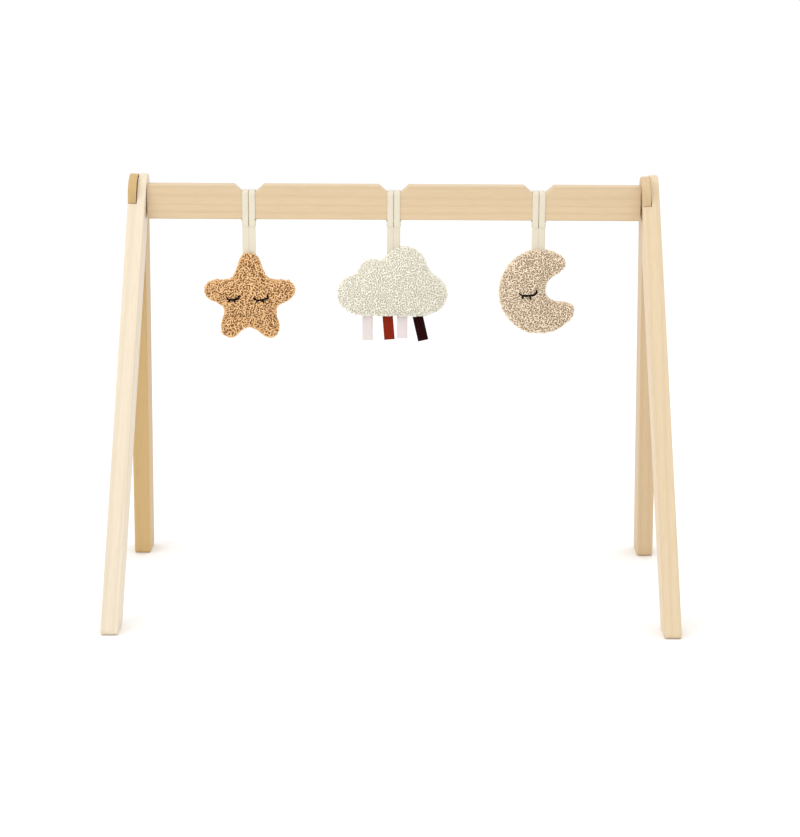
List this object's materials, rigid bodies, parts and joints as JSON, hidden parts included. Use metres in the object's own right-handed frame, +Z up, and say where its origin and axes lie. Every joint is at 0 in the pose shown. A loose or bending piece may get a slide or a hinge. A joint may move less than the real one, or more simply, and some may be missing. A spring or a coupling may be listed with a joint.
{
  "type": "activity play gym",
  "caption": "Freestanding baby play gym: two timber A-frames carry a notched crossbar from which soft toys swing and turn on cloth tapes above a lying baby.",
  "frame": {"origin": "on the floor, under the middle of the crossbar, midway between the four feet", "axes": "+X along the crossbar to the right, +Y to the rear, +Z up"},
  "size_m": [0.7314, 0.3768, 0.5584],
  "materials": {
    "wood": "clear matt lacquer on planed pine",
    "dowel_wood": "bare beech",
    "steel": "zinc plated",
    "insert_metal": "plain",
    "tape": "cotton twill tape, undyed",
    "teddy_tan": "curly boucle plush",
    "teddy_white": "short curly teddy plush",
    "teddy_beige": "short teddy plush",
    "filling": "loose polyester fibre",
    "thread_dark": "embroidery thread",
    "ribbon_pale": "woven satin ribbon",
    "ribbon_rust": "woven satin ribbon",
    "ribbon_maroon": "woven satin ribbon"
  },
  "bodies": {
    "stand": {"crossbar": "wood", "front_leg_left": "wood", "rear_leg_left": "wood", "front_leg_right": "wood", "rear_leg_right": "wood", "bolt_left": "steel", "washer_left": "steel", "threaded_insert_left": "insert_metal", "dowel_left": "dowel_wood", "bolt_right": "steel", "washer_right": "steel", "threaded_insert_right": "insert_metal", "dowel_right": "dowel_wood", "star_strap_wrap": "tape", "cloud_strap_wrap": "tape", "moon_strap_wrap": "tape"},
    "star_strap": {"star_strap_drop": "tape"},
    "star": {"star_front_panel": "teddy_tan", "star_back_panel": "teddy_tan", "star_filling": "filling", "star_eyes": "thread_dark"},
    "cloud_strap": {"cloud_strap_drop": "tape"},
    "cloud": {"cloud_front_panel": "teddy_white", "cloud_back_panel": "teddy_white", "cloud_filling": "filling"},
    "moon_strap": {"moon_strap_drop": "tape"},
    "moon": {"moon_front_panel": "teddy_beige", "moon_back_panel": "teddy_beige", "moon_filling": "filling", "moon_eye": "thread_dark"},
    "ribbon_pale_left_tag": {"ribbon_pale_left": "ribbon_pale"},
    "ribbon_rust_tag": {"ribbon_rust": "ribbon_rust"},
    "ribbon_pale_right_tag": {"ribbon_pale_right": "ribbon_pale"},
    "ribbon_maroon_tag": {"ribbon_maroon": "ribbon_maroon"}
  },
  "joints": [
    {"name": "star_swing", "type": "hinge", "parent": "stand", "child": "star_strap", "pos_m": [-0.1855, -0.0106, 0.489], "axis": [1, 0, 0], "range_deg": [-75, 75]},
    {"name": "star_twist", "type": "hinge", "parent": "star_strap", "child": "star", "pos_m": [-0.1855, -0.0106, 0.4608], "axis": [0, 0, 1], "range_deg": [-60, 60]},
    {"name": "cloud_swing", "type": "hinge", "parent": "stand", "child": "cloud_strap", "pos_m": [0, -0.0106, 0.489], "axis": [1, 0, 0], "range_deg": [-75, 75]},
    {"name": "cloud_twist", "type": "hinge", "parent": "cloud_strap", "child": "cloud", "pos_m": [0, -0.0106, 0.4677], "axis": [0, 0, 1], "range_deg": [-60, 60]},
    {"name": "moon_swing", "type": "hinge", "parent": "stand", "child": "moon_strap", "pos_m": [0.1855, -0.0106, 0.489], "axis": [1, 0, 0], "range_deg": [-75, 75]},
    {"name": "moon_twist", "type": "hinge", "parent": "moon_strap", "child": "moon", "pos_m": [0.1855, -0.0106, 0.4649], "axis": [0, 0, 1], "range_deg": [-60, 60]},
    {"name": "ribbon_pale_left_swing", "type": "hinge", "parent": "cloud", "child": "ribbon_pale_left_tag", "pos_m": [-0.0333, -0.0106, 0.3746], "axis": [1, 0, 0], "range_deg": [-60, 60]},
    {"name": "ribbon_rust_swing", "type": "hinge", "parent": "cloud", "child": "ribbon_rust_tag", "pos_m": [-0.0072, -0.0106, 0.3741], "axis": [1, 0, 0], "range_deg": [-60, 60]},
    {"name": "ribbon_pale_right_swing", "type": "hinge", "parent": "cloud", "child": "ribbon_pale_right_tag", "pos_m": [0.0115, -0.0106, 0.3746], "axis": [1, 0, 0], "range_deg": [-60, 60]},
    {"name": "ribbon_maroon_swing", "type": "hinge", "parent": "cloud", "child": "ribbon_maroon_tag", "pos_m": [0.0322, -0.0106, 0.3731], "axis": [1, 0, 0], "range_deg": [-60, 60]}
  ]
}
